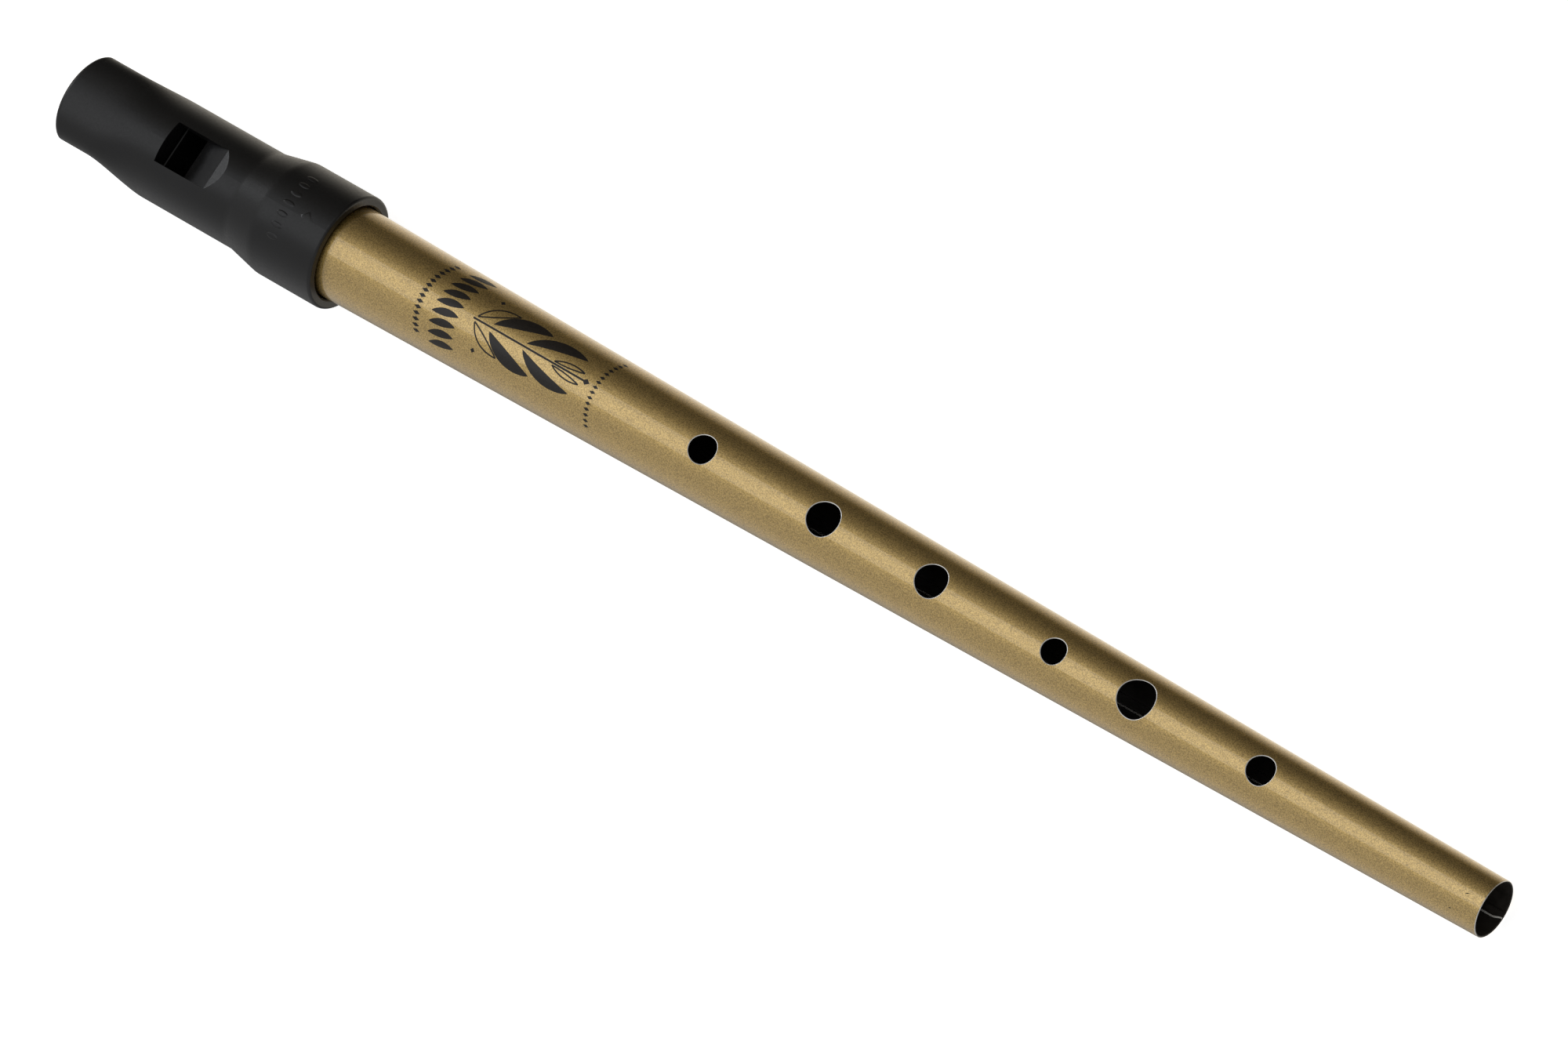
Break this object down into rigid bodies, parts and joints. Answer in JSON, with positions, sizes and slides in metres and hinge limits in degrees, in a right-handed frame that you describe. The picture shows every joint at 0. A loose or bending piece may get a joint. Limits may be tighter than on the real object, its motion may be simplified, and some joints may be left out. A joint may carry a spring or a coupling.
{
  "type": "tin whistle",
  "caption": "Conical metal tin whistle with finger holes in a row and a black moulded mouthpiece head that slides on the tube to tune it.",
  "frame": {"origin": "on the axis of the bore, inside the straight band of the collar, 6.9 mm from its rim", "axes": "+X along the bore from the mouthpiece to the foot, +Z out through the finger holes and the window"},
  "size_m": [0.297, 0.0208, 0.0208],
  "materials": {
    "gold_painted_tinplate": "gold metallic paint, satin, fine flake",
    "black_head_plastic": "near-black moulded plastic, satin",
    "black_block_plastic": "near-black moulded plastic, satin"
  },
  "bodies": {
    "tube": {"tube": "gold_painted_tinplate"},
    "head": {"head_shell": "black_head_plastic", "fipple_block": "black_block_plastic"}
  },
  "joints": [
    {"name": "tuning_slide", "type": "slide", "parent": "tube", "child": "head", "axis": [-1, 0, 0], "range_m": [0, 0.01]}
  ]
}
